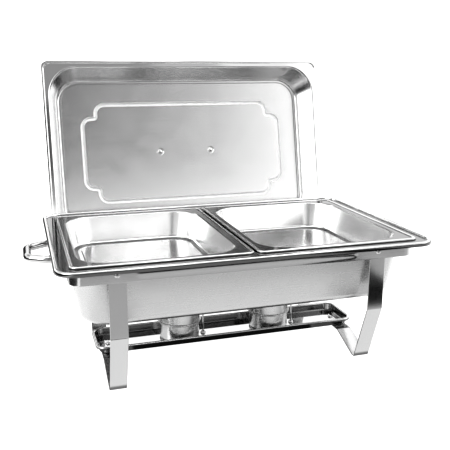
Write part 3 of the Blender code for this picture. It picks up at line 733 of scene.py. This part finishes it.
def make_lid(tilt):
    """The lid in its own frame: hollow towards -Z, then leaned back by the tilt."""
    panel = -LID_DEPTH + PANEL_RISE
    keys = [(0.0000, -0.0040), (0.0000, 0.0000), (0.0048, 0.0000), (0.0058, -0.0012),
            (0.0132, -0.0012), (0.0288, -LID_DEPTH), (0.0345, -LID_DEPTH),
            (0.0360, panel), (0.0400, panel)]
    profile = rounded_profile(keys, (0.0023, 0.0021, 0.0009, 0.0032, 0.0045, 0.0010, 0.0010),
                              steps=8)
    radii = [(0.0, 0.013), (0.0058, 0.012), (0.011, 0.052), (0.0145, 0.052), (0.027, 0.043),
             (0.0345, 0.037), (0.040, 0.033)]
    sheet, pressed, ledge = 1, 2, 3
    mesh_data = bmesh.new()
    # The outer lip takes the darkened rim steel: painted shade
    rings = shell_rings(mesh_data, LID_LENGTH, LID_HEIGHT, profile, radii, polished_reach=0.0125,
                        shaded=((*LIP, ledge),))

    bead = []
    for step in range(BEAD_STEPS + 1):
        offset = BEAD_HALF * (1 - 2 * step / BEAD_STEPS)
        height = panel - BEAD_DEPTH * (1 + cos(pi * offset / BEAD_HALF)) / 2
        bead.append(add_ring(mesh_data, [(point.x, point.y, height)
                                         for point in cartouche(offset)]))
    # The bead takes the lightened lid steel: painted highlight
    join_all(mesh_data, bead, material=pressed)

    holes = []
    for centre_x in (-SCREW_X, SCREW_X):
        dimple = []
        for step in range(DIMPLE_STEPS + 1):
            part = step / DIMPLE_STEPS
            dimple.append((DIMPLE_RADIUS - DIMPLE_SLOPE * part,
                           panel - PANEL_RISE * smooth_step(part)))
        dimple.append((SCREW_HOLE_RADIUS, -LID_DEPTH))
        turns = [add_ring(mesh_data, [(centre_x + x, y, height) for x, y in circle(radius, 36)])
                 for radius, height in dimple]
        join_all(mesh_data, turns, material=sheet)
        holes.append(turns[0])
    fill_between(mesh_data, [rings[-1], bead[0]], material=sheet)
    fill_between(mesh_data, [bead[-1], *holes], material=sheet)
    lid = finish_mesh("lid_shell", mesh_data)
    thicken(lid, LID_METAL)
    lean(lid, tilt)
    seat_for(lid, "lid", RIM_STEEL, LID_SHEET, LID_BEAD_PAINTED_HIGHLIGHT, RIM_PAINTED_SHADE)


def lean(obj, tilt):
    """From the lid's own frame, rim up, to the standing lid that leans back."""
    obj.data.transform(Matrix.Rotation(pi / 2 - tilt, 4, "X"))


def make_lid_handle(tilt):
    """The bow behind the lid, with its two washers and the screws through the lid."""
    reach, foot, rod_radius = 0.0876, 0.0554, 0.005
    bridge = [(-SCREW_X, 0, -foot), (-SCREW_X, 0, -reach),
              (SCREW_X, 0, -reach), (SCREW_X, 0, -foot)]
    bar = sweep("lid_handle_bar", rounded_path(bridge, (0.016, 0.016), steps=14),
                circle(rod_radius, 32), (0, 1, 0))
    lean(bar, tilt)
    seat_for(bar, "lid_handle", MIRROR)
    for side in ("left", "right"):
        washer = turned(f"lid_handle_washer_{side}_turned", [
            (0.0030, 0.0020), (0.0098, 0.0020), (0.0108, 0.0016), (0.0112, 0.0008),
            (0.0105, 0.0003), (0.0088, 0.0), (0.0030, 0.0)])
        lean(washer, tilt)
        seat_for(washer, f"lid_handle_washer_{side}", MIRROR)
        head = rounded_profile([(0.0011, 0.0006), (0.0013, 0.0021), (0.0036, 0.0017),
                                (0.0044, 0.0)], (0.0002, 0.0014), steps=5)
        screw = turned(f"lid_handle_screw_{side}_turned", [
            (0, 0.0006), *head, (0.0024, 0.0), (0.0024, -0.0133), (0, -0.0137)], steps=36)
        lean(screw, tilt)
        seat_for(screw, f"lid_handle_screw_{side}", SMALL_PARTS)


# ------------------------------------------------------------- tray and burners

def make_tray():
    """The shallow fuel tray, and the two pegs that hold it on the legs' crosspieces."""
    keys = [(0.0000, 0.0080), (0.0000, 0.0123), (0.0044, 0.0123), (0.0072, 0.0000),
            (0.0180, 0.0000)]
    profile = rounded_profile(keys, (0.0021, 0.0020, 0.0022), steps=8)
    radii = [(0.0, 0.018), (0.0046, 0.015), (0.0096, 0.012), (0.018, 0.006)]
    mesh_data = bmesh.new()
    ledge = 1
    # The lip and the inner wall take the darkened rim steel: painted shade
    rings = shell_rings(mesh_data, TRAY_LENGTH, TRAY_WIDTH, profile, radii,
                        polished_reach=TRAY_WIDTH,
                        shaded=((*LIP, ledge), (0.0046, 0.0074, ledge)))
    holes = [add_ring(mesh_data, [(centre + x, y, 0) for x, y in circle(PEG_HOLE_RADIUS, 24)])
             for centre in (-PEG_X, PEG_X)]
    fill_between(mesh_data, [rings[-1], *holes])
    tray = finish_mesh("fuel_tray_shell", mesh_data)
    thicken(tray, TRAY_METAL)
    seat_for(tray, "fuel_tray", MIRROR, RIM_PAINTED_SHADE)
    for side in ("left", "right"):
        head = rounded_profile([(0, 0.0024), (0.0030, 0.0022), (0.0042, 0.0)], (0.0022,), steps=6)
        peg = turned(f"tray_peg_{side}_pin", [
            *head, (0.0025, 0.0), (0.0025, -0.0036), (0.0019, -0.0042), (0, -0.0042)], steps=36)
        seat_for(peg, f"tray_peg_{side}", SMALL_PARTS)


def make_cup(side):
    """A spun cup with a rolled lip, open at the top."""
    height, rim = CUP_HEIGHT, CUP_RADIUS + CUP_LIP
    bore = CUP_RADIUS - SPUN_METAL
    outside = rounded_profile([(bore, height - 0.0001), (rim, height), (rim, height - 0.0018),
                               (CUP_RADIUS, height - 0.0026), (CUP_RADIUS, 0.0), (0, 0.0)],
                              (0.0007, 0.0008, 0.0009, 0.0034), steps=6)
    inside = rounded_profile([(0, SPUN_METAL), (bore, SPUN_METAL), (bore, height - 0.0002)],
                             (0.0026,), steps=6)
    cup = turned(f"burner_cup_{side}_spun", outside + inside)
    seat_for(cup, f"burner_cup_{side}", BURNER_STEEL)


def make_cover(side):
    """The cover: a ring with rounded shoulders, a flame hole and a skirt inside the cup."""
    outer, skirt = CUP_RADIUS + 0.0005, CUP_RADIUS - 0.0015
    bore, skirt_bore = outer - SPUN_METAL, skirt - SPUN_METAL
    top, skirt_low = COVER_HEIGHT, -0.006
    outside = rounded_profile([(COVER_HOLE, top - 0.0006), (COVER_HOLE + 0.0008, top),
                               (outer, top), (outer, 0.0)], (0.0005, 0.0038), steps=8)
    inside = [(skirt, 0.0), (skirt, skirt_low), (skirt_bore, skirt_low), (skirt_bore, SPUN_METAL)]
    ceiling = rounded_profile([(bore, SPUN_METAL), (bore, top - SPUN_METAL),
                               (COVER_HOLE, top - SPUN_METAL)], (0.0030,), steps=6)
    cover = turned(f"burner_cover_{side}_spun", outside + inside + ceiling)
    seat_for(cover, f"burner_cover_{side}", BURNER_STEEL)


def make_damper(side):
    """The disc on its ear, the hanging wire and the knob that swings it."""
    reach, radius, ear, metal, edge = 0.0255, 0.022, 0.0045, 0.0012, 0.0003
    disc_steps, ear_steps = 48, 12
    disc_turn = pi / 2 + (radius - ear) / reach
    outline = []
    for step in range(disc_steps + 1):
        angle = disc_turn * (2 * step / disc_steps - 1)
        outline.append((reach + radius * cos(angle), radius * sin(angle)))
    for step in range(ear_steps + 1):
        angle = disc_turn + 2 * (pi - disc_turn) * step / ear_steps
        outline.append((ear * cos(angle), ear * sin(angle)))
    mesh_data = bmesh.new()
    rings = []
    for inset, height in ((edge, 0.0), (0.0, edge), (0.0, metal - edge), (edge, metal)):
        scale = 1 - inset / radius
        rings.append(add_ring(mesh_data, [(reach / 2 + (x - reach / 2) * scale, y * scale, height)
                                          for x, y in outline]))
    join_all(mesh_data, rings)
    cap_ends(mesh_data, rings)
    disc = finish_mesh(f"damper_disc_{side}_plate", mesh_data)
    cut_holes(disc, [round_cutter(0.0018, 0.01, (0, 0, 0), "Z")])
    seat_for(disc, f"damper_disc_{side}", MIRROR)

    low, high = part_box(f"damper_wire_{side}")
    wire_radius = 0.0013
    start = Vector((low[0], high[1] - wire_radius * 0.9, high[2] - wire_radius))
    drop = Vector((high[0] - wire_radius, low[1] + wire_radius, high[2] - wire_radius))
    flat = (drop - start).cross(Vector((0, 0, 1)))
    end = Vector((drop.x, drop.y, low[2]))
    wire = sweep(f"damper_wire_{side}_rod", rounded_path([start, drop, end], (0.005,), steps=12),
                 circle(wire_radius, 20), flat)
    stand_for(wire, f"damper_wire_{side}", MIRROR)

    ball = 0.0045
    profile = [(ball * sin(pi * step / 20), -ball * cos(pi * step / 20)) for step in range(17)]
    neck = [(0.0019, 0.0042), (0.0017, 0.0052), (0.0, 0.0054)]
    knob = turned(f"damper_knob_{side}_turned", profile + neck, steps=32)
    low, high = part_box(f"damper_knob_{side}")
    knob.location = ((low[0] + high[0]) / 2, (low[1] + high[1]) / 2, low[2] + ball)
    stand_for(knob, f"damper_knob_{side}", SMALL_PARTS)
    make_rivet(f"damper_rivet_{side}", head=0.0030, axis=2, sign=1, grip=0.0025, shank=0.0017)


# ------------------------------------------------------------- studio and camera

def calculate(tree, operation, first, second=0.0):
    """A math node on two sockets or numbers; gives back its output socket."""
    node = tree.nodes.new("ShaderNodeMath")
    node.operation = operation
    for socket, value in zip(node.inputs, (first, second)):
        if isinstance(value, float):
            socket.default_value = value
        else:
            tree.links.new(value, socket)
    return node.outputs["Value"]


def soft_window(tree, value, low, high, softness):
    """1 between low and high, 0 outside, with soft edges of that width."""
    edges = []
    for edge, rising in ((low, 1.0), (high, 0.0)):
        ramp = tree.nodes.new("ShaderNodeMapRange")
        ramp.interpolation_type = "SMOOTHSTEP"
        ramp.inputs["From Min"].default_value = edge - softness / 2
        ramp.inputs["From Max"].default_value = edge + softness / 2
        ramp.inputs["To Min"].default_value = 1.0 - rising
        ramp.inputs["To Max"].default_value = rising
        tree.links.new(value, ramp.inputs["Value"])
        edges.append(ramp.outputs["Result"])
    return calculate(tree, "MULTIPLY", *edges)


def paint(tree, under, across, up, patches):
    """Lays soft rectangular patches over a shade, each on top of the ones before it."""
    for from_across, to_across, from_up, to_up, softness, shade in patches:
        mask = calculate(tree, "MULTIPLY",
                         soft_window(tree, across, from_across, to_across, softness),
                         soft_window(tree, up, from_up, to_up, softness))
        kept = calculate(tree, "MULTIPLY", under, calculate(tree, "SUBTRACT", 1.0, mask))
        under = calculate(tree, "ADD", kept, calculate(tree, "MULTIPLY", mask, shade))
    return under


def stage_object(name, mesh_data):
    obj = finish_mesh(name, mesh_data)
    material = bpy.data.materials.new(name)
    material.use_nodes = True
    obj.data.materials.append(material)
    return obj, material.node_tree


def stage_plane(name, half):
    mesh_data = bmesh.new()
    bmesh.ops.create_grid(mesh_data, x_segments=1, y_segments=1, size=half)
    return stage_object(name, mesh_data)


def object_axes(tree):
    """The sockets X, Y and Z of the object coordinates."""
    coordinates = tree.nodes.new("ShaderNodeTexCoord")
    axes = tree.nodes.new("ShaderNodeSeparateXYZ")
    tree.links.new(coordinates.outputs["Object"], axes.inputs["Vector"])
    return axes.outputs


def seen_in_steel_only(obj):
    """Keeps a studio surface out of the picture and the shadows; only reflections show it."""
    obj.visible_camera = False
    obj.visible_diffuse = False
    obj.visible_shadow = False


def glow(tree, shade):
    tree.nodes.remove(tree.nodes["Principled BSDF"])
    emission = tree.nodes.new("ShaderNodeEmission")
    tree.links.new(shade, emission.inputs["Strength"])
    tree.links.new(emission.outputs["Emission"], tree.nodes["Material Output"].inputs["Surface"])


def make_floor():
    """The plain pale floor that the camera sees, with a light shadow on it."""
    _, tree = stage_plane("floor", FAR)
    shader = tree.nodes["Principled BSDF"]
    shader.inputs["Base Color"].default_value = (FLOOR_SHADE, FLOOR_SHADE, FLOOR_SHADE, 1.0)
    shader.inputs["Roughness"].default_value = 0.9
    shader.inputs["Specular IOR Level"].default_value = 0.0
    shader.inputs["Emission Color"].default_value = (1.0, 1.0, 1.0, 1.0)
    shader.inputs["Emission Strength"].default_value = FLOOR_GLOW


def make_reflected_table():
    """The table as the steel sees it: white near the object, dark under it and further out."""
    table, tree = stage_plane("reflected_table", FAR)
    table.location.z = 0.0004
    seen_in_steel_only(table)
    axes = object_axes(tree)
    white = calculate(tree, "ADD", TABLE_SHADE)
    glow(tree, paint(tree, white, axes["X"], axes["Y"], TABLE_PATCHES))


def make_dark_card():
    """A black card lying on the table at the front right, for the dark streaks there."""
    card, tree = stage_plane("dark_card", 0.5)
    card.location = DARK_CARD
    card.rotation_euler.z = DARK_CARD_TURN
    card.scale = (*DARK_CARD_SIZE, 1.0)
    seen_in_steel_only(card)
    glow(tree, calculate(tree, "ADD", CARD_SHADE))


def make_reflected_dome():
    """The walls and ceiling as the steel sees them. Azimuth 0 is in front, 90 on the right."""
    mesh_data = bmesh.new()
    bmesh.ops.create_icosphere(mesh_data, subdivisions=5, radius=DOME_RADIUS)
    dome, tree = stage_object("reflected_dome", mesh_data)
    seen_in_steel_only(dome)
    axes = object_axes(tree)
    backwards = calculate(tree, "MULTIPLY", axes["Y"], -1.0)
    azimuth = calculate(tree, "DEGREES", calculate(tree, "ARCTAN2", axes["X"], backwards))
    height = calculate(tree, "DIVIDE", axes["Z"], DOME_RADIUS)
    elevation = calculate(tree, "DEGREES", calculate(tree, "ARCSINE", height))
    white = calculate(tree, "ADD", WALL_SHADE)
    glow(tree, paint(tree, white, azimuth, elevation, DOME_PATCHES))


def softbox(name, place, target, size, power):
    data = bpy.data.lights.new(name, "AREA")
    data.shape = "RECTANGLE"
    data.size, data.size_y = size
    data.energy = power
    light = bpy.data.objects.new(name, data)
    light.location = place
    light.rotation_euler = (Vector(target) - Vector(place)).to_track_quat("-Z", "Y").to_euler()
    bpy.context.scene.collection.objects.link(light)


def make_studio():
    world = bpy.data.worlds.new("white_studio")
    world.use_nodes = True
    background = world.node_tree.nodes["Background"]
    background.inputs["Color"].default_value = (1.0, 1.0, 1.0, 1.0)
    background.inputs["Strength"].default_value = 1.05
    bpy.context.scene.world = world
    bpy.context.scene.view_settings.view_transform = "Standard"
    bpy.context.scene.view_settings.look = "High Contrast"
    make_floor()
    make_reflected_table()
    make_reflected_dome()
    make_dark_card()
    middle = (0, 0, 0.2)
    softbox("overhead_softbox", (0.0, -0.3, 2.2), middle, (2.4, 1.6), 14)
    softbox("left_softbox", (-2.2, -0.9, 1.2), middle, (1.0, 1.8), 8)


def make_camera():
    data = bpy.data.cameras.new("camera")
    data.lens = CAMERA_LENS
    data.sensor_width = 36.0
    camera = bpy.data.objects.new("camera", data)
    camera.location = CAMERA_PLACE
    camera.rotation_euler = (pi / 2 - CAMERA_PITCH, 0, CAMERA_YAW)
    bpy.context.scene.collection.objects.link(camera)
    bpy.context.scene.camera = camera


# ----------------------------------------------------------------------- build

def build():
    lift = next(joint for joint in frame["joints"] if joint["name"] == "lid_lift")
    tilt = atan2(lift["axis"][1], lift["axis"][2])
    make_band()
    make_water_pan()
    make_lid(tilt)
    make_lid_handle(tilt)
    make_tray()
    for side, sign in SIDES:
        make_leg(side, sign)
        make_end_handle(side, sign)
        make_lid_hook(side, tilt)
        make_food_pan(side)
        make_cup(side)
        make_cover(side)
        make_damper(side)
    make_studio()
    make_camera()


build()
